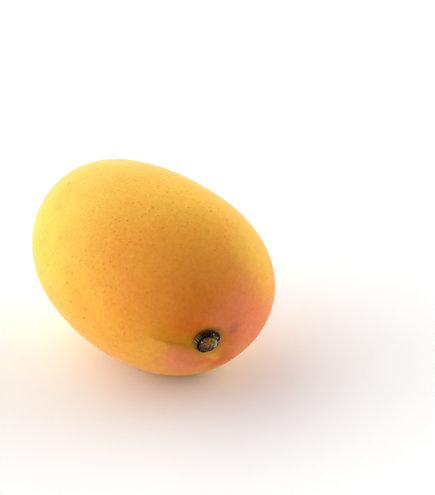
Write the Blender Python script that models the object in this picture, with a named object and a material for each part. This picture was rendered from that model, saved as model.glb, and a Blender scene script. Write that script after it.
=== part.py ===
"""A ripe mango lying on its side, with the woody stub of its stalk still on.

Axes: +X runs along the fruit towards the stalk, +Y towards its belly side, +Z up.
The origin is at the bottom centre of the whole object's box. Metres, Blender 4.5.
"""
import math

import bmesh
import bpy
from mathutils import Matrix, Vector

MM = 0.001
GAP = 0.3 * MM

# The fruit's half sizes, along its own axes.
HALF_LENGTH = 56.0 * MM
HALF_WIDTH = 39.5 * MM
HALF_THICKNESS = 36.5 * MM

# How the fruit departs from an ellipsoid, as shares of its girth.
BLUNT_ENDS = 0.135       # both ends are fuller than an ellipse's
STALK_END_SWELL = 0.049  # the stalk end is the thicker one
BELLY_BEND = 0.057       # both ends bend towards the belly side
SHOULDER_SKEW = -0.056   # the stalk end's shoulder drops away on the belly side
END_LIFT = 0.024         # both ends turn up a little
STEADY_STATION = 0.25    # share of the length, squared, that the bend and the lift leave in place
SKEW_STATION = 0.6       # the same for the shoulder

# How it lies: the stalk end dips, and the skin is pressed flat where it rests.
STALK_END_DIP = math.radians(4.35)
REST_SPOT_DEPTH = 0.8 * MM

# The hollow that the stalk grows from. Angles are of the unit ball that the fruit is shaped from.
STALK_SIDE = math.radians(-18.1)
STALK_LIFT = math.radians(-3.0)
SEAT_RADIUS = 5.6 * MM
SEAT_DEPTH = 2.4 * MM
HOLLOW_RADIUS = 18.0 * MM

# Folds of skin that run out of the hollow: heading round the stalk, depth, half width.
CREASES = (
    (math.radians(165), 0.7 * MM, 3.4 * MM),
    (math.radians(-80), 0.7 * MM, 2.0 * MM),
)
CREASE_START = 5.2 * MM
CREASE_DEEPEST = 10.0 * MM
CREASE_END = 26.0 * MM

# The beak, a low swelling on the belly side of the far end.
BEAK_SIDE = math.radians(158)
BEAK_HEIGHT = 0.9 * MM
BEAK_SPREAD = 0.035      # how fast it fades, as one minus the cosine of the angle from its top

# The stalk's stub: a root in the flesh, a ragged corky collar with a shallow trough inside, and the cut wood.
ROOT_RADIUS = 2.4 * MM
ROOT_DEPTH = 2.5 * MM
COLLAR_RADIUS = 5.05 * MM
COLLAR_HEIGHT = 2.7 * MM
STUB_RADIUS = 3.45 * MM
STUB_HEIGHT = 3.3 * MM
COLLAR_TEETH = ((9, 0.045), (14, 0.025))   # count round the collar, share of the radius

# Mesh fineness.
FRUIT_RINGS = 46
FRUIT_SEGMENTS = 64
RING_EVENNESS = 0.35     # 1 spaces the rings evenly, less crowds them round the stalk
STUB_SEGMENTS = 40
SOCKET_SEGMENTS = 32
MERGE_DISTANCE = 0.01 * MM
SHARP_ANGLE = math.radians(35)

LYING_TURN = Matrix.Rotation(STALK_END_DIP, 4, 'Y')


def smooth_step(value, start, end):
    """0 before start, 1 past end, and an even S between them."""
    share = min(max((value - start) / (end - start), 0.0), 1.0)
    return share * share * (3 - 2 * share)


def ball_direction(side, lift):
    """The unit vector that is turned from +X towards +Y by side, and raised by lift."""
    return Vector((math.cos(side) * math.cos(lift), math.sin(side) * math.cos(lift), math.sin(lift)))


def plain_point(ball):
    """The fruit's skin without its hollow, creases and beak, for a point of the unit ball."""
    station = ball.x
    girth = 1 + BLUNT_ENDS * station ** 2 + STALK_END_SWELL * station
    bend = BELLY_BEND * (station ** 2 - STEADY_STATION)
    skew = SHOULDER_SKEW * station * (station ** 2 - SKEW_STATION)
    lift = END_LIFT * (station ** 2 - STEADY_STATION)
    return Vector((
        HALF_LENGTH * station,
        HALF_WIDTH * (ball.y * girth + bend + skew),
        HALF_THICKNESS * (ball.z * girth + lift),
    ))


def plain_normal(ball):
    """The outward direction of the plain skin."""
    step = 0.001
    across = ball.orthogonal().normalized()
    along = ball.cross(across)
    here = plain_point(ball)
    there = plain_point((ball + step * across).normalized()) - here
    ahead = plain_point((ball + step * along).normalized()) - here
    return there.cross(ahead).normalized()


def stalk_frame():
    """A frame on the plain skin where the stalk grows: X to its right, Y up, Z straight outwards."""
    ball = ball_direction(STALK_SIDE, STALK_LIFT)
    outward = plain_normal(ball)
    right = Vector((0, 0, 1)).cross(outward).normalized()
    up = outward.cross(right)
    frame = Matrix((right, up, outward)).transposed().to_4x4()
    frame.translation = plain_point(ball)
    return frame


STALK_FRAME = stalk_frame()
SEAT_FRAME = STALK_FRAME @ Matrix.Translation((0, 0, -SEAT_DEPTH))
BEAK_TOP = ball_direction(BEAK_SIDE, 0.0)


def crease_depth(x, y):
    """How far the folds of skin sink below the hollow, at a place in the stalk's frame."""
    reach = math.hypot(x, y)
    strength = smooth_step(reach, CREASE_START, CREASE_DEEPEST)
    strength *= smooth_step(reach, CREASE_END, CREASE_DEEPEST)
    total = 0.0
    for heading, depth, half_width in CREASES:
        ahead = x * math.cos(heading) + y * math.sin(heading)
        aside = y * math.cos(heading) - x * math.sin(heading)
        if ahead > 0:
            total += depth * strength * math.exp(-(aside / half_width) ** 2)
    return total


def fruit_point(ball):
    """The finished skin, with beak, hollow and creases, for a point of the unit ball."""
    point = plain_point(ball)
    beak = math.exp(-(1 - ball.dot(BEAK_TOP)) / BEAK_SPREAD)
    point += ball * BEAK_HEIGHT * beak
    place = STALK_FRAME.inverted() @ point
    reach = math.hypot(place.x, place.y)
    if ball.x > 0 and reach < CREASE_END:
        outside = smooth_step(reach, SEAT_RADIUS, HOLLOW_RADIUS)
        place.z = place.z * outside - SEAT_DEPTH * (1 - outside) - crease_depth(place.x, place.y)
        point = STALK_FRAME @ place
    return point


def make_material(name, colour, roughness):
    material = bpy.data.materials.new(name)
    material.use_nodes = True
    shader = material.node_tree.nodes["Principled BSDF"]
    shader.inputs["Base Color"].default_value = (*colour, 1.0)
    shader.inputs["Roughness"].default_value = roughness
    shader.inputs["Metallic"].default_value = 0.0
    return material


def make_object(name, mesh, material):
    """Turns a bmesh into an object with smooth faces, flat only across sharp edges."""
    bmesh.ops.recalc_face_normals(mesh, faces=mesh.faces[:])
    data = bpy.data.meshes.new(name)
    mesh.to_mesh(data)
    mesh.free()
    data.shade_smooth()
    data.set_sharp_from_angle(angle=SHARP_ANGLE)
    data.materials.append(material)
    obj = bpy.data.objects.new(name, data)
    bpy.context.scene.collection.objects.link(obj)
    return obj


def turned(profile, segments):
    """A closed bmesh turned round Z from a profile of radii and heights that starts and ends on the axis."""
    mesh = bmesh.new()
    verts = [mesh.verts.new((radius, 0, height)) for radius, height in profile]
    edges = [mesh.edges.new(pair) for pair in zip(verts, verts[1:])]
    bmesh.ops.spin(mesh, geom=verts + edges, cent=(0, 0, 0), axis=(0, 0, 1),
                   angle=2 * math.pi, steps=segments, use_merge=True)
    bmesh.ops.remove_doubles(mesh, verts=mesh.verts[:], dist=MERGE_DISTANCE)
    return mesh


def press_rest_spot(mesh):
    """Cuts the lowest skin off level with the surface that the fruit lies on."""
    down = LYING_TURN.inverted().to_3x3() @ Vector((0, 0, -1))
    lowest = max(vertex.co.dot(down) for vertex in mesh.verts)
    cut = bmesh.ops.bisect_plane(mesh, geom=mesh.verts[:] + mesh.edges[:] + mesh.faces[:],
                                 plane_co=down * (lowest - REST_SPOT_DEPTH), plane_no=down, clear_outer=True)
    rim = [item for item in cut["geom_cut"] if isinstance(item, bmesh.types.BMEdge)]
    bmesh.ops.contextual_create(mesh, geom=rim)


def make_fruit(material):
    """Skin and flesh, one grown solid, with rings that crowd round the stalk."""
    profile = []
    for ring in range(FRUIT_RINGS + 1):
        share = ring / FRUIT_RINGS
        angle = math.pi * (RING_EVENNESS * share + (1 - RING_EVENNESS) * share ** 2)
        profile.append((math.sin(angle), math.cos(angle)))
    mesh = turned(profile, FRUIT_SEGMENTS)
    pole_turn = ball_direction(STALK_SIDE, STALK_LIFT).to_track_quat('Z', 'Y')
    for vertex in mesh.verts:
        vertex.co = fruit_point((pole_turn @ vertex.co).normalized())
    press_rest_spot(mesh)
    return make_object("fruit", mesh, material)


def make_socket_cutter():
    """The hole in the flesh that the stalk's root fills."""
    mesh = bmesh.new()
    depth = ROOT_DEPTH + GAP
    bmesh.ops.create_cone(mesh, cap_ends=True, segments=SOCKET_SEGMENTS, radius1=ROOT_RADIUS + GAP,
                          radius2=ROOT_RADIUS + GAP, depth=2 * depth)
    data = bpy.data.meshes.new("socket_cutter")
    mesh.to_mesh(data)
    mesh.free()
    cutter = bpy.data.objects.new("socket_cutter", data)
    bpy.context.scene.collection.objects.link(cutter)
    cutter.display_type = 'WIRE'
    cutter.hide_render = True
    return cutter


def cut_socket(fruit, cutter):
    cut = fruit.modifiers.new("root_socket", 'BOOLEAN')
    cut.operation = 'DIFFERENCE'
    cut.solver = 'EXACT'
    cut.object = cutter


def make_stem_stub(material):
    """Root, collar and cut wood, one grown solid turned round the stalk's axis. Its seat is at height 0."""
    profile = [
        (0, -ROOT_DEPTH),
        (ROOT_RADIUS, -ROOT_DEPTH),
        (ROOT_RADIUS, GAP),
        (COLLAR_RADIUS * 0.95, GAP),
        (COLLAR_RADIUS, 0.3 * COLLAR_HEIGHT),
        (COLLAR_RADIUS * 0.96, 0.55 * COLLAR_HEIGHT),
        (COLLAR_RADIUS * 0.90, 0.8 * COLLAR_HEIGHT),
        (COLLAR_RADIUS * 0.82, COLLAR_HEIGHT),
        (COLLAR_RADIUS * 0.735, 0.78 * COLLAR_HEIGHT),
        (STUB_RADIUS, 0.72 * COLLAR_HEIGHT),
        (STUB_RADIUS, 0.9 * STUB_HEIGHT),
        (STUB_RADIUS * 0.90, STUB_HEIGHT),
        (STUB_RADIUS * 0.45, 0.97 * STUB_HEIGHT),
        (0, 0.93 * STUB_HEIGHT),
    ]
    mesh = turned(profile, STUB_SEGMENTS)
    for vertex in mesh.verts:
        radius = math.hypot(vertex.co.x, vertex.co.y)
        if radius > 1.1 * STUB_RADIUS:
            turn = math.atan2(vertex.co.y, vertex.co.x)
            ragged = 1.0
            for count, share in COLLAR_TEETH:
                ragged += share * math.sin(count * turn + count)
            vertex.co.x *= ragged
            vertex.co.y *= ragged
    return make_object("stem_stub", mesh, material)


def lay_down(pieces, guides):
    """Parents everything to one empty, which lays the fruit down with its box centred over the origin."""
    places = []
    for piece in pieces:
        places.extend(LYING_TURN @ piece.matrix_basis @ vertex.co for vertex in piece.data.vertices)
    low = [min(place[i] for place in places) for i in range(3)]
    high = [max(place[i] for place in places) for i in range(3)]
    pose = bpy.data.objects.new("lying_pose", None)
    bpy.context.scene.collection.objects.link(pose)
    pose.rotation_euler = LYING_TURN.to_euler()
    pose.location = (-(low[0] + high[0]) / 2, -(low[1] + high[1]) / 2, -low[2])
    for item in pieces + guides:
        item.parent = pose


for old in list(bpy.data.objects):
    bpy.data.objects.remove(old)

skin = make_material("mango_skin", (0.86, 0.42, 0.06), 0.42)
bark = make_material("stalk_wood", (0.10, 0.055, 0.02), 0.75)

fruit = make_fruit(skin)
socket_cutter = make_socket_cutter()
cut_socket(fruit, socket_cutter)
stem_stub = make_stem_stub(bark)
for seated in (socket_cutter, stem_stub):
    seated.location = SEAT_FRAME.translation
    seated.rotation_euler = SEAT_FRAME.to_euler()
lay_down([fruit, stem_stub], [socket_cutter])
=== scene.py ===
import math

import bpy
import numpy as np
from mathutils import Matrix, Vector


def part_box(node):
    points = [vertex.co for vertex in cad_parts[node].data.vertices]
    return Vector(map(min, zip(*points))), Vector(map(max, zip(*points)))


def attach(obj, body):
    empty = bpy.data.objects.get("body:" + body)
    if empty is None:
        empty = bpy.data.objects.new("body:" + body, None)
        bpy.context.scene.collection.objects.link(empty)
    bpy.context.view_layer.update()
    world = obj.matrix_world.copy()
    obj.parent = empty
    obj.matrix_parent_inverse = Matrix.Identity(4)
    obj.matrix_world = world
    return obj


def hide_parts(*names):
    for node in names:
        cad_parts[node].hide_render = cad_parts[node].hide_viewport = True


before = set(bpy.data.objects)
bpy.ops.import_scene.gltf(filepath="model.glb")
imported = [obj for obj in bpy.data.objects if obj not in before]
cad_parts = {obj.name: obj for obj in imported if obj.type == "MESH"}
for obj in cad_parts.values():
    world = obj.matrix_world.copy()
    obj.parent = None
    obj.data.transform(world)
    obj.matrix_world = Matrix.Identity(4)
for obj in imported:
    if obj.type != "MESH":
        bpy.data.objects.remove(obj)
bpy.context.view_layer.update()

MM = 0.001

# The fruit
# The whole ripe mango, skin and flesh grown as one body. It lies on its side, where its own weight presses
# a small flat spot. The skin is drawn in to a shallow hollow where the stalk grows, with two folds out of it.
half_size = np.array((56.0, 39.5, 36.5)) * MM   # length towards the stalk, width, thickness
blunt_ends = 0.135
stalk_end_swell = 0.049
belly_bend = 0.057
shoulder_skew = -0.056
end_lift = 0.024
steady_station = 0.25
skew_station = 0.6
stalk_end_dip = math.radians(4.35)
rest_spot_depth = 0.8 * MM
sag = 1.2 * MM          # how far the soft flesh sags round the resting spot
sag_height = 2.0 * MM   # and the height above the surface where it sags most

stalk_side = math.radians(-18.1)
stalk_lift = math.radians(-3.0)
seat_radius = 5.6 * MM
seat_depth = 2.4 * MM
hollow_radius = 18.0 * MM
creases = (   # heading round the stalk, depth, half width on its right, on its left, and shift to the left
    (math.radians(165), 0.8 * MM, 4.6 * MM, 2.0 * MM, 2.2 * MM),
    (math.radians(-80), 0.7 * MM, 2.0 * MM, 2.0 * MM, 0.0 * MM),
)
crease_start = 5.2 * MM
crease_deepest = 10.0 * MM
crease_end = 26.0 * MM
pucker_count = 23
pucker_height = 0.04 * MM
pucker_end = 9.5 * MM

beak_side = math.radians(158)
beak_height = 0.9 * MM
beak_spread = 0.035
style_scar_radius = 1.3 * MM
style_scar_depth = 0.35 * MM

swell_height = 0.09 * MM      # the skin's slow unevenness, which a hand feels more than the eye sees
swell_lengths = (16 * MM, 42 * MM)
swell_waves = 9
swell_seed = 11

ring_count = 260
segment_count = 340
end_crowding = 0.75


def smooth_step(value, start, end):
    """0 before start, 1 past end, and an even S between them."""
    share = np.clip((value - start) / (end - start), 0.0, 1.0)
    return share * share * (3 - 2 * share)


def ball_direction(side, lift):
    """The unit vector that is turned from +X towards +Y by side, and raised by lift."""
    return np.array((math.cos(side) * math.cos(lift), math.sin(side) * math.cos(lift), math.sin(lift)))


def plain_skin(ball):
    """The skin without its hollow, folds and beak, for points of the unit ball, one to a row."""
    station = ball[:, 0]
    girth = 1 + blunt_ends * station ** 2 + stalk_end_swell * station
    bend = belly_bend * (station ** 2 - steady_station)
    skew = shoulder_skew * station * (station ** 2 - skew_station)
    lift = end_lift * (station ** 2 - steady_station)
    across = ball[:, 1] * girth + bend + skew
    upward = ball[:, 2] * girth + lift
    return half_size * np.stack((station, across, upward), axis=1)


def stalk_frame():
    """X to the stalk's right, Y up and Z straight outwards, as rows, and the place on the plain skin."""
    ball = ball_direction(stalk_side, stalk_lift)
    across = np.cross(ball, (0, 0, 1))
    across /= np.linalg.norm(across)
    along = np.cross(ball, across)
    step = 0.001
    near = np.stack((ball, ball + step * across, ball + step * along))
    near /= np.linalg.norm(near, axis=1, keepdims=True)
    here, there, ahead = plain_skin(near)
    outward = Vector(np.cross(there - here, ahead - here)).normalized()
    right = Vector((0, 0, 1)).cross(outward).normalized()
    return np.array((right, outward.cross(right), outward)), here


stalk_axes, stalk_place = stalk_frame()


def fold_depth(x, y, reach):
    """How far the two folds of skin sink, at places in the stalk's frame."""
    deepening = smooth_step(reach, crease_start, crease_deepest)
    strength = deepening * smooth_step(reach, crease_end, crease_deepest)
    total = np.zeros_like(reach)
    for heading, depth, right_width, left_width, shift in creases:
        ahead = x * math.cos(heading) + y * math.sin(heading)
        aside = y * math.cos(heading) - x * math.sin(heading) - shift
        half_width = np.where(aside > 0, left_width, right_width)
        total += np.where(ahead > 0, depth * strength * np.exp(-(aside / half_width) ** 2), 0.0)
    return total


def pucker(x, y, reach):
    """Fine radial wrinkles where the skin is drawn in round the collar."""
    turn = np.arctan2(y, x)
    full_at = seat_radius * 1.1
    fade = smooth_step(reach, seat_radius * 0.85, full_at) * smooth_step(reach, pucker_end, full_at)
    wave = np.sin(pucker_count * turn + 1.4 * np.sin(5 * turn)) * (0.7 + 0.3 * np.sin(3 * turn + 1))
    return pucker_height * fade * wave


def finished_skin(ball):
    """The skin with beak, style scar, hollow, folds and slow unevenness."""
    skin = plain_skin(ball)
    beak_top = ball_direction(beak_side, 0.0)
    beak = np.exp(-(1 - ball @ beak_top) / beak_spread)
    skin += ball * (beak_height * beak)[:, None]
    scar_place = plain_skin(beak_top[None])[0] + beak_top * beak_height
    from_scar = np.linalg.norm(skin - scar_place, axis=1) / style_scar_radius
    scar = np.exp(-from_scar ** 2) - 0.5 * np.exp(-(from_scar - 1.7) ** 2 * 4)   # a dimple in a low rim
    skin -= ball * (style_scar_depth * scar)[:, None]
    chance = np.random.default_rng(swell_seed)
    swell = np.zeros(len(ball))
    for _ in range(swell_waves):
        heading = chance.normal(size=3)
        heading /= np.linalg.norm(heading)
        length = chance.uniform(*swell_lengths)
        swell += np.sin(skin @ heading * 2 * math.pi / length + chance.uniform(0, 2 * math.pi))
    skin += ball * (swell_height * swell / math.sqrt(swell_waves))[:, None]
    place = (skin - stalk_place) @ stalk_axes.T
    reach = np.hypot(place[:, 0], place[:, 1])
    near = (ball[:, 0] > 0) & (reach < crease_end)
    outside = smooth_step(reach, seat_radius, hollow_radius)
    drawn_in = place[:, 2] * outside - seat_depth * (1 - outside)
    drawn_in += pucker(place[:, 0], place[:, 1], reach) - fold_depth(place[:, 0], place[:, 1], reach)
    place[:, 2] = np.where(near, drawn_in, place[:, 2])
    return np.where(near[:, None], place @ stalk_axes + stalk_place, skin)


def ball_grid():
    """Points of the unit ball in rings round the stalk's direction, crowded at both ends, with the faces."""
    share = np.arange(1, ring_count) / ring_count
    angle = math.pi * (share - end_crowding * np.sin(2 * math.pi * share) / (2 * math.pi))
    turn = np.arange(segment_count) * 2 * math.pi / segment_count
    wide, level = np.sin(angle)[:, None], np.cos(angle)[:, None]
    ring = np.stack(np.broadcast_arrays(wide * np.cos(turn), wide * np.sin(turn), level), axis=-1).reshape(-1, 3)
    points = np.vstack((ring, (0, 0, 1), (0, 0, -1)))
    near_pole = len(ring)
    faces = []
    for row in range(ring_count - 2):
        for column in range(segment_count):
            beside = (column + 1) % segment_count
            low, high = row * segment_count, (row + 1) * segment_count
            faces.append((low + column, high + column, high + beside, low + beside))
    last = (ring_count - 2) * segment_count
    for column in range(segment_count):
        beside = (column + 1) % segment_count
        faces.append((near_pole, column, beside))
        faces.append((near_pole + 1, last + beside, last + column))
    turn_to_stalk = Vector(ball_direction(stalk_side, stalk_lift)).to_track_quat('Z', 'Y').to_matrix()
    return points @ np.array(turn_to_stalk).T, faces


dip = np.array(Matrix.Rotation(stalk_end_dip, 3, 'Y'))
ball, faces = ball_grid()
skin = finished_skin(ball) @ dip.T
fruit_low, fruit_high = (np.array(corner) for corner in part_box("fruit"))
fruit_shift = (fruit_low + fruit_high) / 2 - (skin.min(axis=0) + skin.max(axis=0)) / 2
fruit_shift[2] = fruit_low[2] - skin[:, 2].min() - rest_spot_depth
skin += fruit_shift
above = np.maximum(skin[:, 2] - fruit_low[2], 0.0)
sagged = above - sag * above / sag_height * np.exp(1 - above / sag_height)
skin[:, 2] = fruit_low[2] + np.maximum(sagged, 0.0)

seat_place = stalk_place - stalk_axes[2] * seat_depth
seat_matrix = Matrix.Identity(4)   # the seat that the stalk grows in, on the lying fruit
for column_index in range(3):
    axis = dip @ stalk_axes[column_index]
    for row_index in range(3):
        seat_matrix[row_index][column_index] = axis[row_index]
seat_matrix.translation = Vector(dip @ seat_place + fruit_shift)


def on_skin(side, lift):
    """The place on the lying fruit's skin for a direction of the unit ball, in degrees."""
    ball = ball_direction(math.radians(side), math.radians(lift))[None]
    return tuple(float(value) for value in (finished_skin(ball) @ dip.T + fruit_shift)[0])


def make_piece(name, points, faces, material):
    """A smooth mesh object from points and faces."""
    mesh = bpy.data.meshes.new(name)
    mesh.from_pydata(points.tolist(), [], faces)
    mesh.shade_smooth()
    mesh.materials.append(material)
    piece = bpy.data.objects.new(name, mesh)
    bpy.context.scene.collection.objects.link(piece)
    return piece


def hex_colour(code):
    """An sRGB hex value such as #F3BC3B, turned to linear."""
    parts = [int(code[i:i + 2], 16) / 255 for i in (1, 3, 5)]
    return tuple(p / 12.92 if p <= 0.04045 else ((p + 0.055) / 1.055) ** 2.4 for p in parts) + (1.0,)


def add_node(tree, kind, inputs=None, **settings):
    """Adds a node of a kind, such as Math. An input is a value, or another node's output, which is linked."""
    node = tree.nodes.new("ShaderNode" + kind)
    for key, value in settings.items():
        setattr(node, key, value)
    for key, value in (inputs or {}).items():
        if isinstance(value, bpy.types.NodeSocket):
            tree.links.new(value, node.inputs[key])
        else:
            node.inputs[key].default_value = value
    return node


def new_material(name):
    """An empty node material, with its shader joined to the output."""
    material = bpy.data.materials.new(name)
    material.use_nodes = True
    tree = material.node_tree
    tree.nodes.clear()
    shader = add_node(tree, "BsdfPrincipled")
    add_node(tree, "OutputMaterial", {"Surface": shader.outputs[0]})
    return material, tree, shader


# The rind's colours: yellows for the shaded sides, oranges and reds for the side that the sun reached, and
# olive where the rind is drawn in round the stalk.
yolk_yellow = "#E8C450"
golden_yellow = "#F0BC38"
amber = "#F4B040"
tan_orange = "#E89C34"
warm_orange = "#F09034"
# Deep orange, used only over the stalk, where it is partly the rind's colour and partly painted shade.
deep_orange_and_shade = "#E87820"
burnt_orange = "#E46410"
peach_blush = "#F4845C"
red_blush = "#E05C20"
mauve_bruise = "#C06060"
fold_gold = "#D88808"
olive = "#B88C10"

# Where the rind's colour changes: what the patch is, its middle by side and lift in degrees, its core radius
# and edge radius in mm, how far it covers what lies under it, and its colour.
rind_patches = (
    ("yellow flank", -110, 25, 8, 48, 0.7, yolk_yellow),
    ("yellow back", 60, 60, 10, 46, 0.8, golden_yellow),
    ("amber lower flank", -70, -10, 6, 34, 0.6, amber),
    ("orange cheek", -70, 45, 4, 22, 0.5, tan_orange),
    ("tan crown", -18, 42, 6, 30, 0.7, tan_orange),
    ("orange shoulder", -22, 24, 4, 24, 0.6, warm_orange),
    # The deep orange over the stalk is partly the rind's own colour and partly painted shade where the hollow
    # above the stalk faces down.
    ("deep orange and painted shade over the stalk", -20, 12, 3, 18, 0.7, deep_orange_and_shade),
    ("blush", 4, 4, 4, 26, 0.8, peach_blush),
    ("red blush, far side", 28, -26, 5, 26, 0.7, red_blush),
    ("yellow underside", 20, -60, 10, 38, 0.8, golden_yellow),
    # The two rim patches are partly the rind's own yellow and partly painted rim light along that edge.
    ("amber rim and painted rim light", 22, 22, 4, 20, 0.7, amber),
    ("golden rim and painted rim light, above", 28, 32, 4, 16, 0.7, golden_yellow),
    ("mauve spot", -6, 2, 0.5, 4, 0.5, mauve_bruise),
    ("amber lobe", -42, -14, 4, 20, 0.7, amber),
    ("peach lobe", -29, -17, 2, 13, 0.8, peach_blush),
    ("red foot", -6, -22, 2, 11, 0.8, red_blush),
    ("green by the collar", -26, -6, 0.5, 3, 0.8, olive),
    ("amber under the stalk", -14, -13, 0.5, 4, 0.8, amber),
    ("amber foot", -16, -22, 0.5, 4, 0.6, amber),
)

# The streaks in the fold that runs from the stalk to the left: each one's heading round the stalk in degrees,
# where it starts and has gone, how far it reaches to the right and to the left, how soft it is on the right and
# on the left, all in mm, how far it covers what lies under it, and its colour.
rind_streaks = (
    (164, 4.5, 23.0, 4.6, 4.6, 3.4, 0.8, 0.9, fold_gold),
    (164, 3.0, 17.0, 9.0, -1.0, 4.0, 3.0, 0.7, burnt_orange),
)


# Mango rind, grown and waxy: a thin bloom of wax over a yellow to orange skin, which glows a little because
# light goes into the flesh. It gives the eye a soft, even sheen with no sharp highlight.
def mango_rind():
    material, tree, shader = new_material("mango_rind")
    coords = add_node(tree, "TexCoord").outputs["Object"]

    # Patches of colour have wandering edges: the coordinates are pushed about by a slow noise, 4.5 mm at most.
    wander = add_node(tree, "TexNoise", {"Vector": coords, "Scale": 1 / (14 * MM), "Detail": 3.0})
    centred = add_node(tree, "VectorMath", {0: wander.outputs["Color"], 1: (0.5, 0.5, 0.5)},
                       operation='SUBTRACT')
    pushed = add_node(tree, "VectorMath", {0: centred.outputs[0], "Scale": 9 * MM}, operation='SCALE')
    place = add_node(tree, "VectorMath", {0: coords, 1: pushed.outputs[0]}, operation='ADD').outputs[0]

    # Ripe ground colour: yellow at the far end and warmer towards the stalk. The patches lie over it in turn.
    along = add_node(tree, "SeparateXYZ", {0: place}).outputs["X"]
    ripe = add_node(tree, "MapRange", {"Value": along, "From Min": -45 * MM, "From Max": 50 * MM},
                    interpolation_type='SMOOTHSTEP')
    colour = add_node(tree, "Mix", {0: ripe.outputs[0], 6: hex_colour(yolk_yellow),
                                    7: hex_colour(warm_orange)}, data_type='RGBA').outputs[2]
    for _, side, lift, core, edge, strength, code in rind_patches:
        away = add_node(tree, "VectorMath", {0: place, 1: on_skin(side, lift)}, operation='DISTANCE')
        cover = add_node(tree, "MapRange", {"Value": away.outputs["Value"], "From Min": core * MM,
                                            "From Max": edge * MM, "To Min": strength, "To Max": 0.0},
                         interpolation_type='SMOOTHSTEP')
        colour = add_node(tree, "Mix", {0: cover.outputs[0], 6: colour, 7: hex_colour(code)},
                          data_type='RGBA').outputs[2]

    # An olive ring close round the stalk, then the streaks, which have gone 32 mm from it.
    from_seat = add_node(tree, "VectorMath", {0: place, 1: seat_matrix.translation}, operation='SUBTRACT')
    from_stalk = add_node(tree, "VectorMath", {0: from_seat.outputs[0]}, operation='LENGTH')
    near_stalk = add_node(tree, "MapRange", {"Value": from_stalk.outputs["Value"], "From Min": 32 * MM,
                                             "From Max": 24 * MM}, interpolation_type='SMOOTHSTEP')
    ring_share = add_node(tree, "MapRange", {"Value": from_stalk.outputs["Value"], "From Min": 5.2 * MM,
                                             "From Max": 7.4 * MM, "To Min": 0.55, "To Max": 0.0},
                          interpolation_type='SMOOTHSTEP')
    colour = add_node(tree, "Mix", {0: ring_share.outputs[0], 6: colour, 7: hex_colour(olive)},
                      data_type='RGBA').outputs[2]
    for heading, start, gone, right_reach, left_reach, right_soft, left_soft, strength, code in rind_streaks:
        heading = math.radians(heading)
        forward = seat_matrix.to_3x3() @ Vector((math.cos(heading), math.sin(heading), 0))
        leftward = seat_matrix.to_3x3() @ Vector((-math.sin(heading), math.cos(heading), 0))
        ahead = add_node(tree, "VectorMath", {0: from_seat.outputs[0], 1: forward}, operation='DOT_PRODUCT')
        aside = add_node(tree, "VectorMath", {0: from_seat.outputs[0], 1: leftward}, operation='DOT_PRODUCT')
        cover = add_node(tree, "Math", {0: near_stalk.outputs[0], 1: strength},
                         operation='MULTIPLY').outputs[0]
        for value, no_cover, full_cover in ((ahead, start - 1.5, start + 0.5), (ahead, gone, gone - 9.0),
                                            (aside, -right_reach - right_soft, right_soft - right_reach),
                                            (aside, left_reach + left_soft, left_reach - left_soft)):
            share = add_node(tree, "MapRange", {"Value": value.outputs["Value"], "From Min": no_cover * MM,
                                                "From Max": full_cover * MM}, interpolation_type='SMOOTHSTEP')
            cover = add_node(tree, "Math", {0: share.outputs[0], 1: cover}, operation='MULTIPLY').outputs[0]
        colour = add_node(tree, "Mix", {0: cover, 6: colour, 7: hex_colour(code)},
                          data_type='RGBA').outputs[2]

    # Mottling of the rind: clouds 9 mm across that turn it warmer, and flecks 3 mm and 1.2 mm across that turn
    # it a little darker or paler.
    cloud = add_node(tree, "TexNoise", {"Vector": coords, "Scale": 1 / (9 * MM), "Detail": 3.0})
    cloud_share = add_node(tree, "MapRange", {"Value": cloud.outputs["Fac"], "From Min": 0.48,
                                              "From Max": 0.72, "To Max": 0.24})
    colour = add_node(tree, "Mix", {0: cloud_share.outputs[0], 6: colour, 7: hex_colour("#F58A1E")},
                      data_type='RGBA').outputs[2]
    mottle = add_node(tree, "TexNoise", {"Vector": coords, "Scale": 1 / (3 * MM), "Detail": 5.0,
                                         "Roughness": 0.6})
    speckle = add_node(tree, "TexNoise", {"Vector": coords, "Scale": 1 / (1.2 * MM), "Detail": 2.0})
    speckle_tone = add_node(tree, "MapRange", {"Value": speckle.outputs["Fac"], "From Min": 0.35,
                                               "From Max": 0.65, "To Min": 0.96, "To Max": 1.03})
    mottle_tone = add_node(tree, "MapRange", {"Value": mottle.outputs["Fac"], "From Min": 0.3,
                                              "From Max": 0.7, "To Min": 0.955, "To Max": 1.035})
    for tone in (mottle_tone, speckle_tone):
        colour = add_node(tree, "VectorMath", {0: colour, "Scale": tone.outputs[0]},
                          operation='SCALE').outputs[0]

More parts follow.
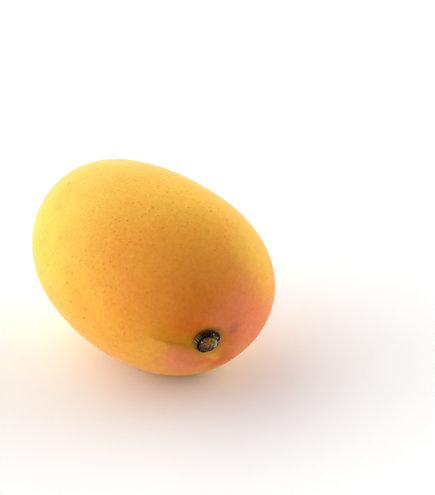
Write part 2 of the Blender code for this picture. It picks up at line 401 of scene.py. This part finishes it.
    # Lenticels, the rind's breathing pores: soft corky dots in crowds, no two alike. For each of three sizes,
    # the spacing, the dot's radius and the strongest one's cover. A fine noise makes their outlines ragged.
    crowd = add_node(tree, "TexNoise", {"Vector": coords, "Scale": 1 / (24 * MM), "Detail": 1.5})
    crowd_share = add_node(tree, "MapRange", {"Value": crowd.outputs["Fac"], "From Min": 0.34,
                                              "From Max": 0.52, "To Min": 0.30, "To Max": 1.0})
    ragged = add_node(tree, "TexNoise", {"Vector": coords, "Scale": 1 / (0.8 * MM), "Detail": 2.0})
    ragged = add_node(tree, "VectorMath", {0: ragged.outputs["Color"], "Scale": 0.9 * MM}, operation='SCALE')
    dot_place = add_node(tree, "VectorMath", {0: coords, 1: ragged.outputs[0]}, operation='ADD').outputs[0]
    pores = None
    for spacing, radius, strength in ((1.3 * MM, 0.36 * MM, 0.62), (2.4 * MM, 0.50 * MM, 0.75),
                                      (4.6 * MM, 0.58 * MM, 0.84)):
        cells = add_node(tree, "TexVoronoi", {"Vector": dot_place, "Scale": 1 / spacing})
        dot = add_node(tree, "MapRange", {"Value": cells.outputs["Distance"],
                                          "From Min": 0.15 * radius / spacing,
                                          "From Max": 1.3 * radius / spacing,
                                          "To Min": strength, "To Max": 0.0},
                       interpolation_type='SMOOTHSTEP')
        chance = add_node(tree, "SeparateColor", {0: cells.outputs["Color"]})
        shown = add_node(tree, "MapRange", {"Value": chance.outputs[0], "From Min": 0.2, "From Max": 0.95})
        dot = add_node(tree, "Math", {0: dot.outputs[0], 1: shown.outputs[0]},
                       operation='MULTIPLY').outputs[0]
        pores = dot if pores is None else add_node(tree, "Math", {0: pores, 1: dot},
                                                   operation='MAXIMUM').outputs[0]
    thinned = add_node(tree, "MapRange", {"Value": along, "From Min": 20 * MM, "From Max": 46 * MM,
                                          "To Min": 1.0, "To Max": 0.45})
    for share in (crowd_share, thinned):
        pores = add_node(tree, "Math", {0: pores, 1: share.outputs[0]}, operation='MULTIPLY').outputs[0]
    colour = add_node(tree, "Mix", {0: pores, 6: colour, 7: hex_colour("#C45C00")},
                      data_type='RGBA').outputs[2]

    # Relief: peel grain about 0.9 mm across, and the pores stand a hair proud.
    grain = add_node(tree, "TexNoise", {"Vector": coords, "Scale": 1 / (0.9 * MM), "Detail": 3.0})
    height = add_node(tree, "Math", {0: grain.outputs["Fac"], 1: pores}, operation='ADD')
    relief = add_node(tree, "Bump", {"Height": height.outputs[0], "Distance": 0.03 * MM, "Strength": 1.0})
    gloss = add_node(tree, "MapRange", {"Value": mottle.outputs["Fac"], "From Min": 0.3, "From Max": 0.7,
                                        "To Min": 0.46, "To Max": 0.56})

    tree.links.new(colour, shader.inputs["Base Color"])
    tree.links.new(gloss.outputs[0], shader.inputs["Roughness"])
    tree.links.new(relief.outputs[0], shader.inputs["Normal"])
    shader.inputs["IOR"].default_value = 1.14
    shader.inputs["Sheen Weight"].default_value = 0.24
    shader.inputs["Sheen Roughness"].default_value = 0.40
    shader.inputs["Sheen Tint"].default_value = hex_colour("#FFF6D8")
    shader.inputs["Subsurface Weight"].default_value = 0.12
    shader.inputs["Subsurface Radius"].default_value = (1.0, 0.45, 0.12)
    shader.inputs["Subsurface Scale"].default_value = 2.5 * MM
    return material


fruit = make_piece("mango_fruit", skin, faces, mango_rind())
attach(fruit, "root")
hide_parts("fruit")

# The stalk's collar
# The dry, corky ring of old scales where the fruit broke from its panicle. It is dead bark, nearly black
# inside, and split outside into some forty fine teeth, whose backs are khaki, most of all at the lower left:
# partly worn bark and partly a painted highlight, which with the black gaps between draws the teeth's light and
# shade. It is grown onto the fruit in the hollow's seat.
gap = 0.3 * MM
collar_radius = 5.05 * MM
collar_height = 2.7 * MM
collar_columns = 400
collar_teeth = 39
slow_shift, fast_shift = 1.1, 0.75   # how unevenly the teeth are spaced, in radians of their own wave
collar_seed = 5
collar_low_side = 0.30   # how much less tall it is below than above


def ring_noise(chance, turn, counts, power=1.0):
    """A rough wave round a circle: a few sines of random phase, between about -1 and 1."""
    total = np.zeros_like(turn)
    for count in counts:
        total += np.sin(count * turn + chance.uniform(0, 2 * math.pi)) / count ** power
    return total / sum(1 / count ** power for count in counts)


def turned_faces(rows, columns, closed):
    """Faces of a turned grid. closed joins the last row to the first one."""
    faces = []
    for row in range(rows if closed else rows - 1):
        for column in range(columns):
            beside = (column + 1) % columns
            above = (row + 1) % rows
            faces.append((row * columns + column, row * columns + beside, above * columns + beside,
                          above * columns + column))
    return faces


def collar_mesh():
    """Points and faces of the ring: a flank of fine teeth, a broken crest, and a dark trough inside."""
    chance = np.random.default_rng(collar_seed)
    turn = np.arange(collar_columns) * 2 * math.pi / collar_columns
    uneven = slow_shift * np.sin(3 * turn + 1) + fast_shift * np.sin(8 * turn)
    teeth = np.abs(np.sin(collar_teeth / 2 * turn + uneven)) ** 0.8
    tooth_size = 0.50 + 0.75 * ring_noise(chance, turn, (5, 7, 11), 0.2)
    tallness = 1 - collar_low_side * (1 - np.sin(turn)) / 2
    fine = ring_noise(chance, turn, (17, 23, 31, 43), 0.3)
    slow = ring_noise(chance, turn, (2, 3, 5, 8), 0.5)
    outline = (   # radius share, height share, how much the teeth show, how much the lumps show
        (0.86, -0.10, 0.0, 0.1), (0.95, 0.00, 0.3, 0.4), (1.00, 0.10, 0.9, 0.8), (1.01, 0.22, 1.2, 1.0),
        (0.99, 0.36, 1.2, 1.0), (0.965, 0.50, 1.1, 1.0), (0.935, 0.64, 1.0, 1.0), (0.90, 0.78, 0.9, 1.0),
        (0.87, 0.90, 0.8, 1.0), (0.84, 0.98, 0.6, 1.0), (0.80, 1.00, 0.4, 1.0), (0.765, 0.95, 0.3, 0.9),
        (0.735, 0.84, 0.2, 0.8), (0.715, 0.66, 0.1, 0.6), (0.705, 0.45, 0.0, 0.3), (0.70, 0.20, 0.0, 0.0),
        (0.70, -0.10, 0.0, 0.0),
    )
    points = []
    for radius_share, height_share, tooth_show, lump_show in outline:
        radius = collar_radius * radius_share * (1 + 0.065 * tooth_show * tooth_size * (teeth - 0.6)
                                                 + lump_show * (0.030 * slow + 0.012 * fine))
        rise = 1 + 0.16 * tooth_show * tooth_size * (teeth - 0.6) + lump_show * (0.16 * slow + 0.09 * fine)
        ragged = lump_show * 0.035 * ring_noise(chance, turn, (13, 29, 41, 57, 71), 0.1)
        radius = radius * (1 + ragged)
        height = gap + (collar_height - gap) * height_share * rise * (tallness + 1.6 * ragged)
        points.append(np.stack((radius * np.cos(turn), radius * np.sin(turn), height), axis=1))
    return np.vstack(points), turned_faces(len(outline), collar_columns, closed=True)


# Dead bark, weathered and dry: near-black brown, with khaki teeth where the outer scales have worn pale and
# where a painted highlight marks their lit backs at the lower left. The black parts are dense and slightly
# resinous, so they catch small glints.
def corky_bark():
    material, tree, shader = new_material("corky_bark")
    coords = add_node(tree, "TexCoord").outputs["Object"]
    parts = add_node(tree, "SeparateXYZ", {0: coords})
    flat = add_node(tree, "CombineXYZ", {"X": parts.outputs["X"], "Y": parts.outputs["Y"]})
    reach = add_node(tree, "VectorMath", {0: flat.outputs[0]}, operation='LENGTH').outputs["Value"]
    fibre = add_node(tree, "TexNoise", {"Vector": coords, "Scale": 1 / (0.7 * MM), "Detail": 6.0,
                                        "Roughness": 0.65})
    # Khaki on the outer flank, most of it at the lower left, and only on the backs of the teeth: partly worn
    # bark, partly a painted highlight on the teeth's lit backs, with painted shade in the black gaps between
    # them.
    outer = add_node(tree, "MapRange", {"Value": reach, "From Min": 4.0 * MM, "From Max": 4.7 * MM},
                     interpolation_type='SMOOTHSTEP')
    leftward = add_node(tree, "VectorMath", {0: coords, 1: (-0.80, -0.60, 0.0)}, operation='DOT_PRODUCT')
    worn_and_lit_side = add_node(tree, "MapRange", {"Value": leftward.outputs["Value"], "From Min": -1.2 * MM,
                                            "From Max": 2.2 * MM, "To Min": 0.06},
                         interpolation_type='SMOOTHSTEP')
    turn = add_node(tree, "Math", {0: parts.outputs["Y"], 1: parts.outputs["X"]}, operation='ARCTAN2')
    slow_turn = add_node(tree, "Math", {0: turn.outputs[0], 1: 3.0, 2: 1.0}, operation='MULTIPLY_ADD')
    slow_wave = add_node(tree, "Math", {0: slow_turn.outputs[0]}, operation='SINE')
    fast_turn = add_node(tree, "Math", {0: turn.outputs[0], 1: 8.0}, operation='MULTIPLY')
    fast_wave = add_node(tree, "Math", {0: fast_turn.outputs[0]}, operation='SINE')
    bent = add_node(tree, "Math", {0: turn.outputs[0], 1: collar_teeth / 2}, operation='MULTIPLY')
    bent = add_node(tree, "Math", {0: slow_wave.outputs[0], 1: slow_shift, 2: bent.outputs[0]},
                    operation='MULTIPLY_ADD')
    bent = add_node(tree, "Math", {0: fast_wave.outputs[0], 1: fast_shift, 2: bent.outputs[0]},
                    operation='MULTIPLY_ADD')
    tooth = add_node(tree, "Math", {0: bent.outputs[0]}, operation='SINE')
    tooth = add_node(tree, "Math", {0: tooth.outputs[0]}, operation='ABSOLUTE')
    tooth_back = add_node(tree, "MapRange", {"Value": tooth.outputs[0], "From Min": 0.45, "From Max": 0.9},
                          interpolation_type='SMOOTHSTEP')
    streak = add_node(tree, "MapRange", {"Value": fibre.outputs["Fac"], "From Min": 0.34, "From Max": 0.52,
                                         "To Min": 0.35})
    wear_and_highlight = add_node(tree, "Math", {0: outer.outputs[0], 1: worn_and_lit_side.outputs[0]}, operation='MULTIPLY')
    wear_and_highlight = add_node(tree, "Math", {0: wear_and_highlight.outputs[0], 1: streak.outputs[0]}, operation='MULTIPLY')
    wear_and_highlight = add_node(tree, "Math", {0: wear_and_highlight.outputs[0], 1: tooth_back.outputs[0]}, operation='MULTIPLY',
                    use_clamp=True)
    black = add_node(tree, "Mix", {0: fibre.outputs["Fac"], 6: hex_colour("#0A0300"),
                                   7: hex_colour("#2E1408")}, data_type='RGBA')
    colour = add_node(tree, "Mix", {0: wear_and_highlight.outputs[0], 6: black.outputs[2], 7: hex_colour("#B0924A")},
                      data_type='RGBA')
    # Olive at its foot, where the rind grows a little way up it.
    foot = add_node(tree, "MapRange", {"Value": parts.outputs["Z"], "From Min": 1.5 * MM,
                                       "From Max": 0.5 * MM, "To Max": 0.75}, interpolation_type='SMOOTHSTEP')
    foot = add_node(tree, "Math", {0: foot.outputs[0], 1: outer.outputs[0]}, operation='MULTIPLY')
    colour = add_node(tree, "Mix", {0: foot.outputs[0], 6: colour.outputs[2], 7: hex_colour("#7A5210")},
                      data_type='RGBA')
    gloss = add_node(tree, "MapRange", {"Value": fibre.outputs["Fac"], "From Min": 0.35, "From Max": 0.65,
                                        "To Min": 0.42, "To Max": 0.75})
    relief = add_node(tree, "Bump", {"Height": fibre.outputs["Fac"], "Distance": 0.3 * MM})
    tree.links.new(colour.outputs[2], shader.inputs["Base Color"])
    tree.links.new(gloss.outputs[0], shader.inputs["Roughness"])
    tree.links.new(relief.outputs[0], shader.inputs["Normal"])
    shader.inputs["IOR"].default_value = 1.22
    return material


collar_points, collar_faces = collar_mesh()
collar = make_piece("stalk_collar", collar_points, collar_faces, corky_bark())
collar.matrix_world = seat_matrix
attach(collar, "root")
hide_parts("stem_stub")

# The torn scales
# A few slivers of the panicle's bark that stayed on the collar when the stalk was snapped: thin, curled, dry
# and pale on their torn backs, a pale that is partly the bark's own and partly painted glints on the collar's
# crest. Each one is rooted in the collar's crest.
scale_thickness = 0.22 * MM
scale_rows = 9
scale_seed = 8
scales = (   # turn round the collar in degrees, radius at the foot, length, width, lift and sideways lean
    (66, 4.35 * MM, 1.6 * MM, 0.60 * MM, 0.15, 0.2),
    (58, 3.75 * MM, 2.0 * MM, 0.60 * MM, 0.20, -0.9),
    (20, 3.85 * MM, 1.9 * MM, 0.70 * MM, 0.15, 1.1),
    (-8, 3.75 * MM, 1.7 * MM, 0.65 * MM, 0.15, 1.0),
    (2, 4.45 * MM, 1.3 * MM, 0.60 * MM, 0.10, 0.3),
    (-30, 4.35 * MM, 1.1 * MM, 0.55 * MM, 0.10, -0.4),
    (150, 4.30 * MM, 0.9 * MM, 0.40 * MM, 0.05, -0.3),
)


def scale_mesh():
    """Points and faces of all the slivers. Each is a tapering strip with four sides that curls over."""
    chance = np.random.default_rng(scale_seed)
    points, faces = [], []
    for turn, foot, length, width, lift, lean in scales:
        turn = math.radians(turn)
        out = np.array((math.cos(turn), math.sin(turn), 0.0))
        side = np.array((-math.sin(turn), math.cos(turn), 0.0))
        up = np.array((0.0, 0.0, 1.0))
        along = out * 0.5 + side * lean
        if abs(lean) > 0.5:   # this one lies along the crest
            along = side * lean + out * 0.25
            along = along / np.linalg.norm(along) * 0.9
        tallness = 1 - collar_low_side * (1 - math.sin(turn)) / 2
        start = out * foot + up * (collar_height * tallness - 0.25 * MM)
        first = len(points)
        for row in range(scale_rows):
            share = row / (scale_rows - 1)
            taper = 1 - share
            if 0 < row < scale_rows - 1:
                taper = taper ** 0.6 * (1 + 0.15 * chance.normal())
            middle = start + length * (along * share + up * (lift + 0.15) * math.sin(share * 2.2))
            half = 0.5 * width * max(taper, 0.12)
            broad = np.cross(along, up)
            broad = broad / np.linalg.norm(broad)
            for across, thick in ((-1, 0), (0, 0.5), (1, 0), (0, -0.5)):
                points.append(middle + broad * half * across + up * scale_thickness * thick)
        for row in range(scale_rows - 1):
            for corner in range(4):
                beside = (corner + 1) % 4
                low, high = first + row * 4, first + (row + 1) * 4
                faces.append((low + corner, low + beside, high + beside, high + corner))
        last = first + (scale_rows - 1) * 4
        faces.append((first + 3, first + 2, first + 1, first))
        faces.append((last, last + 1, last + 2, last + 3))
    return np.array(points), faces


# Torn bark, dry: pale tan on the torn back with brown ends, matte with a faint straw-like shine. The pale tan
# is partly the bark's own colour and partly painted glints.
def torn_bark_and_glints():
    material, tree, shader = new_material("torn_bark_and_glints")
    coords = add_node(tree, "TexCoord").outputs["Object"]
    grain = add_node(tree, "TexNoise", {"Vector": coords, "Scale": 1 / (0.5 * MM), "Detail": 4.0})
    share = add_node(tree, "MapRange", {"Value": grain.outputs["Fac"], "From Min": 0.35, "From Max": 0.6})
    colour = add_node(tree, "Mix", {0: share.outputs[0], 6: hex_colour("#4A3220"), 7: hex_colour("#EAD8B0")},
                      data_type='RGBA')
    relief = add_node(tree, "Bump", {"Height": grain.outputs["Fac"], "Distance": 0.1 * MM})
    gloss = add_node(tree, "MapRange", {"Value": grain.outputs["Fac"], "To Min": 0.35, "To Max": 0.6})
    tree.links.new(colour.outputs[2], shader.inputs["Base Color"])
    tree.links.new(relief.outputs[0], shader.inputs["Normal"])
    tree.links.new(gloss.outputs[0], shader.inputs["Roughness"])
    return material


scale_points, scale_faces = scale_mesh()
torn_scales = make_piece("torn_scales", scale_points, scale_faces, torn_bark_and_glints())
torn_scales.matrix_world = seat_matrix
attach(torn_scales, "root")
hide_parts("stem_stub")

# The cut stalk
# What is left of the fruit stalk after it was snapped off by hand: tough fibrous wood in a thin bark, with a
# rough face that shows its ring of vessels. It stands in the collar and is rooted in the flesh.
stub_radius = 3.45 * MM
stub_height = 3.2 * MM
root_radius = 2.4 * MM
root_depth = 2.5 * MM
stub_columns = 200
stub_seed = 3
face_slant = 0.20        # the break runs down towards the floor by this share of its width
face_waves = 14
face_wave_lengths = (0.9 * MM, 2.6 * MM)


def stub_mesh():
    """Points and faces of root, side and broken face, from the root's tip to the face's middle."""
    chance = np.random.default_rng(stub_seed)
    turn = np.arange(stub_columns) * 2 * math.pi / stub_columns
    ridges = ring_noise(chance, turn, (7, 11, 17, 29), 0.4)
    chips = ring_noise(chance, turn, (2, 3, 5, 9, 14), 0.3)
    breaks = [(chance.uniform(0, math.pi), chance.uniform(*face_wave_lengths), chance.uniform(0, 2 * math.pi))
              for _ in range(face_waves)]
    points = []

    def broken(radius):
        """The break's own relief at a radius, all round: waves in many headings."""
        x, y = radius * np.cos(turn), radius * np.sin(turn)
        waves = sum(np.sin((x * math.cos(heading) + y * math.sin(heading)) * 2 * math.pi / length + phase)
                    for heading, length, phase in breaks)
        return 0.05 * stub_height * waves / math.sqrt(face_waves) + face_slant * y

    def add_row(out, rise):
        points.append(np.stack((out * np.cos(turn), out * np.sin(turn), rise + 0 * turn), axis=1))

    for radius, height in ((0.05 * root_radius, -root_depth), (root_radius, -root_depth), (root_radius, gap)):
        add_row(radius + 0 * turn, height)
    for share in np.linspace(0, 1, 16):
        height = 1.5 * gap + (0.90 * stub_height - 1.5 * gap) * share
        waist = 1 - 0.06 * math.sin(math.pi * share)
        radius = stub_radius * waist * (1 + 0.045 * ridges)
        add_row(radius, height + (0.08 * stub_height * chips + broken(radius)) * share ** 2)
    for share in (0.985, 0.96, 0.92, 0.87, 0.81, 0.74, 0.67, 0.60, 0.52, 0.44, 0.36, 0.28, 0.20, 0.12, 0.04):
        lip = 0.05 * stub_height * math.exp(-((share - 0.90) / 0.08) ** 2)
        vessel_ring = -0.05 * stub_height * math.exp(-((share - 0.70) / 0.10) ** 2)
        pith = -0.07 * stub_height * math.exp(-(share / 0.22) ** 2)
        radius = stub_radius * share * (1 + 0.045 * ridges * share)
        rise = 0.90 * stub_height + lip + vessel_ring + pith + 0.08 * stub_height * chips * share ** 3
        add_row(radius, rise + broken(radius))
    grid = np.vstack(points)
    rows_made = len(points)
    faces = turned_faces(rows_made, stub_columns, closed=False)
    tip, crown = len(grid), len(grid) + 1
    grid = np.vstack((grid, points[0].mean(axis=0), points[-1].mean(axis=0)))
    top = (rows_made - 1) * stub_columns
    for column in range(stub_columns):
        beside = (column + 1) % stub_columns
        faces.append((tip, beside, column))
        faces.append((crown, top + column, top + beside))
    return grid, faces


# Broken stalk wood, half dried: purple-grey bark that runs onto the face's left, a streak of resin orange,
# and olive wood at the right, with pale torn fibres that also stand as painted glints. Real fibres are some 0.3
# mm apart, too fine to show, so they are drawn 1.1 mm apart. Where the relief is low the face is darkened,
# partly the wood's dark spots and partly painted shade in its pits. It gives the eye a rough, mixed face with
# small glints.
def stalk_wood():
    material, tree, shader = new_material("stalk_wood")
    coords = add_node(tree, "TexCoord").outputs["Object"]
    parts = add_node(tree, "SeparateXYZ", {0: coords})
    flat = add_node(tree, "CombineXYZ", {"X": parts.outputs["X"], "Y": parts.outputs["Y"]})
    fibre = add_node(tree, "TexNoise", {"Vector": flat.outputs[0], "Scale": 1 / (1.1 * MM), "Detail": 3.0})
    blotch = add_node(tree, "TexNoise", {"Vector": coords, "Scale": 1 / (1.6 * MM), "Detail": 3.0})
    wobble = add_node(tree, "Math", {0: blotch.outputs["Fac"], 1: 2.4 * MM, 2: -1.2 * MM},
                      operation='MULTIPLY_ADD')
    across = add_node(tree, "Math", {0: parts.outputs["X"], 1: wobble.outputs[0]}, operation='ADD')
    face = add_node(tree, "ValToRGB")
    bands = ((0.00, "#3A221C"), (0.22, "#664238"), (0.34, "#7E3C0A"), (0.50, "#B46418"), (0.60, "#7A5E14"),
             (0.82, "#8C742A"), (1.00, "#D2BC70"))
    ramp = face.color_ramp
    while len(ramp.elements) < len(bands):
        ramp.elements.new(0.5)
    for element, (position, code) in zip(ramp.elements, bands):
        element.position = position
        element.color = hex_colour(code)
    band_place = add_node(tree, "MapRange", {"Value": across.outputs[0], "From Min": -3.2 * MM,
                                             "From Max": 3.2 * MM})
    tree.links.new(band_place.outputs[0], face.inputs[0])
    # Pale fibres: partly pale torn wood, partly painted glints on the face.
    pale_fibres_and_glints = add_node(tree, "MapRange", {"Value": fibre.outputs["Fac"], "From Min": 0.56, "From Max": 0.68,
                                       "To Max": 0.9})
    torn = add_node(tree, "Mix", {0: pale_fibres_and_glints.outputs[0], 6: face.outputs[0], 7: hex_colour("#D8B070")},
                    data_type='RGBA')
    # Darker where the relief's noise is low: partly the wood's dark spots, partly painted shade in the relief's
    # pits.
    dark = add_node(tree, "MapRange", {"Value": fibre.outputs["Fac"], "From Min": 0.34, "From Max": 0.46,
                                       "To Min": 0.30, "To Max": 1.0})
    torn = add_node(tree, "VectorMath", {0: torn.outputs[2], "Scale": dark.outputs[0]}, operation='SCALE')
    top_share = add_node(tree, "MapRange", {"Value": parts.outputs["Z"], "From Min": stub_height * 0.70,
                                            "From Max": stub_height * 0.84})
    bark = add_node(tree, "Mix", {0: blotch.outputs["Fac"], 6: hex_colour("#2A1814"),
                                  7: hex_colour("#5E4238")}, data_type='RGBA')
    colour = add_node(tree, "Mix", {0: top_share.outputs[0], 6: bark.outputs[2], 7: torn.outputs[0]},
                      data_type='RGBA')
    relief = add_node(tree, "Bump", {"Height": fibre.outputs["Fac"], "Distance": 0.3 * MM})
    gloss = add_node(tree, "MapRange", {"Value": blotch.outputs["Fac"], "From Min": 0.35, "From Max": 0.65,
                                        "To Min": 0.40, "To Max": 0.60})
    tree.links.new(colour.outputs[2], shader.inputs["Base Color"])
    tree.links.new(relief.outputs[0], shader.inputs["Normal"])
    tree.links.new(gloss.outputs[0], shader.inputs["Roughness"])
    shader.inputs["IOR"].default_value = 1.30
    return material


stub_points, stub_faces = stub_mesh()
stub = make_piece("cut_stalk", stub_points, stub_faces, stalk_wood())
stub.matrix_world = seat_matrix
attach(stub, "root")
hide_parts("stem_stub")

# The floor
# A sheet of white card, larger than the view, that the fruit lies on. It isn't part of the object.
floor_half = 3.0
floor_drop = 0.1 * MM
floor_points = np.array([(x, y, -floor_drop) for x, y in ((-1, -1), (1, -1), (1, 1), (-1, 1))])
floor_points[:, :2] *= floor_half


# White card, pressed and matte. It gives the eye an even, pale floor with no shine.
def white_card():
    material, _, shader = new_material("white_card")
    shader.inputs["Base Color"].default_value = hex_colour("#F6F6F6")
    shader.inputs["Roughness"].default_value = 0.6
    return material


floor = make_piece("white_floor", floor_points, [(0, 1, 2, 3)], white_card())

# The light
# A dark room with the fruit on a white table between soft walls of light: a strong one at the left, a strong
# one at the right and a little behind, a high one behind at the left, and weak ones between. No light stands
# where the camera does.
view_azimuth = math.radians(49.3)
wall_softness = 7.0
side_wall = 4.8
high_wall = 2.0
weak_wall = 0.7
light_walls = (   # bearing from the camera, anticlockwise seen from above, and lift, in degrees, then strength
    (-60, 10, weak_wall),
    (-90, 10, side_wall),
    (-150, 10, weak_wall),
    (-135, 45, high_wall),
    (180, 10, weak_wall),
    (120, 10, side_wall),
    (90, 10, weak_wall),
)

world = bpy.data.worlds.new("white_room")
world.use_nodes = True
sky = world.node_tree
sky.nodes.clear()
way = add_node(sky, "TexCoord").outputs["Generated"]
room_level = 0.0
for bearing, lift, strength in light_walls:
    turn, lift = view_azimuth + math.radians(bearing), math.radians(lift)
    middle = (math.sin(turn) * math.cos(lift), -math.cos(turn) * math.cos(lift), math.sin(lift))
    nearness = add_node(sky, "VectorMath", {0: way, 1: middle}, operation='DOT_PRODUCT')
    fade = add_node(sky, "Math", {0: nearness.outputs["Value"], 1: wall_softness, 2: -wall_softness},
                    operation='MULTIPLY_ADD')
    share = add_node(sky, "Math", {0: fade.outputs[0]}, operation='EXPONENT')
    room_level = add_node(sky, "Math", {0: share.outputs[0], 1: strength, 2: room_level},
                          operation='MULTIPLY_ADD').outputs[0]
glow = add_node(sky, "Background", {"Color": (1, 1, 1, 1), "Strength": room_level})
add_node(sky, "OutputWorld", {"Surface": glow.outputs[0]})
bpy.context.scene.world = world
bpy.context.scene.view_settings.view_transform = 'Standard'

# The camera
# A short telephoto on a stand, looking down at the fruit from the stalk's side.
image_long_side = 495
sensor_side = 36.0
focal_pixels = 1191.0
view_elevation = math.radians(29.98)
camera_bearing = math.radians(53.2)
camera_reach = 408.2 * MM
camera_height = 278.0 * MM

camera_data = bpy.data.cameras.new("camera")
camera_data.sensor_width = sensor_side
camera_data.lens = focal_pixels / image_long_side * sensor_side
camera = bpy.data.objects.new("camera", camera_data)
bpy.context.scene.collection.objects.link(camera)
level = math.cos(view_elevation)
back = Vector((math.sin(view_azimuth) * level, -math.cos(view_azimuth) * level, math.sin(view_elevation)))
right = Vector((math.cos(view_azimuth), math.sin(view_azimuth), 0))
stand = Matrix((right, back.cross(right), back)).transposed().to_4x4()
stand.translation = (fruit_shift[0] + camera_reach * math.sin(camera_bearing),
                     fruit_shift[1] - camera_reach * math.cos(camera_bearing), camera_height)
camera.matrix_world = stand
bpy.context.scene.camera = camera
